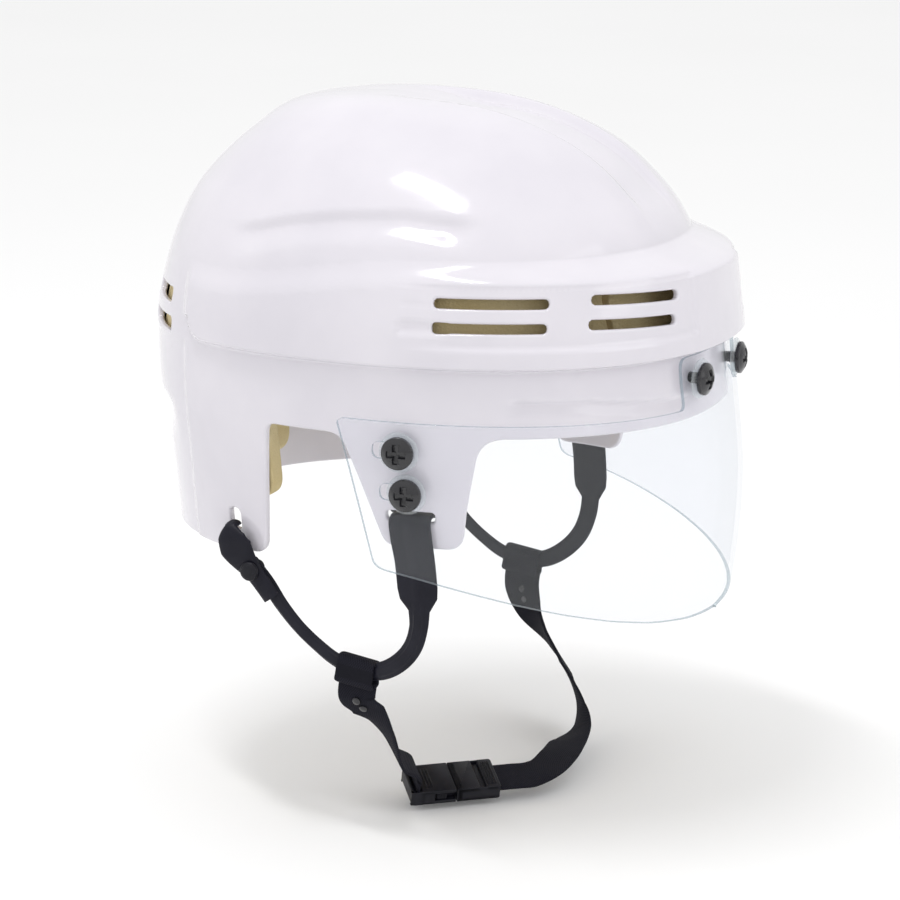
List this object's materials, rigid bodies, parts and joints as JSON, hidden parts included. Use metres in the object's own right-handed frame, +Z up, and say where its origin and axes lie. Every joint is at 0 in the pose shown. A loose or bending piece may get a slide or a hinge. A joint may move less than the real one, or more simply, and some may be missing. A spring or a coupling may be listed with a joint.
{
  "type": "ice hockey helmet",
  "caption": "White ice hockey helmet with a clear visor on screws, foam pads, rubber ear loops and a webbing chin strap with a side-release buckle.",
  "frame": {"origin": "the middle of the head cavity just below brow height, where the wearer's head holds the helmet", "axes": "+X to the wearer's front, +Y to the wearer's left, +Z up to the crown"},
  "size_m": [0.2674, 0.225, 0.3109],
  "materials": {
    "shell": "glossy moulded white plastic, clear gloss",
    "visor": "clear polycarbonate sheet, faint blue-green tint",
    "foam": "pale yellow closed-cell foam",
    "rubber": "black moulded rubber, satin",
    "hardware": "black moulded acetal and black enamelled screw heads",
    "nut_metal": "zinc-plated steel",
    "clear_washer": "clear flexible plastic",
    "webbing": "black woven nylon webbing"
  },
  "bodies": {
    "helmet": {"shell": "shell", "visor": "visor", "forehead_pad": "foam", "crown_pad": "foam", "nape_pad": "foam", "occipital_pad": "foam", "temple_pad_right": "foam", "temple_pad_left": "foam", "rear_side_pad_right": "foam", "rear_side_pad_left": "foam", "visor_screw_right_upper": "hardware", "visor_washer_right_upper": "clear_washer", "visor_nut_right_upper": "nut_metal", "visor_screw_right_lower": "hardware", "visor_washer_right_lower": "clear_washer", "visor_nut_right_lower": "nut_metal", "visor_screw_front_right": "hardware", "visor_washer_front_right": "clear_washer", "visor_nut_front_right": "nut_metal", "visor_screw_left_upper": "hardware", "visor_washer_left_upper": "clear_washer", "visor_nut_left_upper": "nut_metal", "visor_screw_left_lower": "hardware", "visor_washer_left_lower": "clear_washer", "visor_nut_left_lower": "nut_metal", "visor_screw_front_left": "hardware", "visor_washer_front_left": "clear_washer", "visor_nut_front_left": "nut_metal", "ear_loop_right": "rubber", "ear_loop_left": "rubber", "rear_tongue_right": "rubber", "rear_tongue_left": "rubber", "loop_button_right": "hardware", "loop_button_left": "hardware"},
    "chin_strap": {"strap_sleeve_right": "webbing", "strap_sleeve_left": "webbing", "chin_webbing_right": "webbing", "chin_webbing_left": "webbing", "buckle_socket": "hardware", "strap_rivet_right_upper": "hardware", "strap_rivet_right_lower": "hardware", "strap_rivet_left_upper": "hardware", "strap_rivet_left_lower": "hardware"},
    "buckle_plug": {"buckle_plug": "hardware"},
    "prong_front": {"release_prong_front": "hardware"},
    "prong_rear": {"release_prong_rear": "hardware"}
  },
  "joints": [
    {"name": "chin_strap_swing", "type": "hinge", "parent": "helmet", "child": "chin_strap", "pos_m": [-0.016, 0, -0.074], "axis": [0, 1, 0], "range_deg": [-14, 14], "stiffness_Nm_per_rad": 0.35, "deforming": ["ear_loop_right", "ear_loop_left"]},
    {"name": "buckle_release", "type": "slide", "parent": "chin_strap", "child": "buckle_plug", "axis": [0.7782, 0.628, 0], "range_m": [0, 0.0135]},
    {"name": "prong_front_press", "type": "slide", "parent": "buckle_plug", "child": "prong_front", "axis": [-0.6005, 0.7442, 0.2924], "range_m": [0, 0.0016], "stiffness_N_per_m": 400},
    {"name": "prong_rear_press", "type": "slide", "parent": "buckle_plug", "child": "prong_rear", "axis": [0.6005, -0.7442, -0.2924], "range_m": [0, 0.0016], "stiffness_N_per_m": 400}
  ],
  "couplings": [
    {"joint": "prong_rear_press", "follows": "prong_front_press", "ratio": 1}
  ]
}
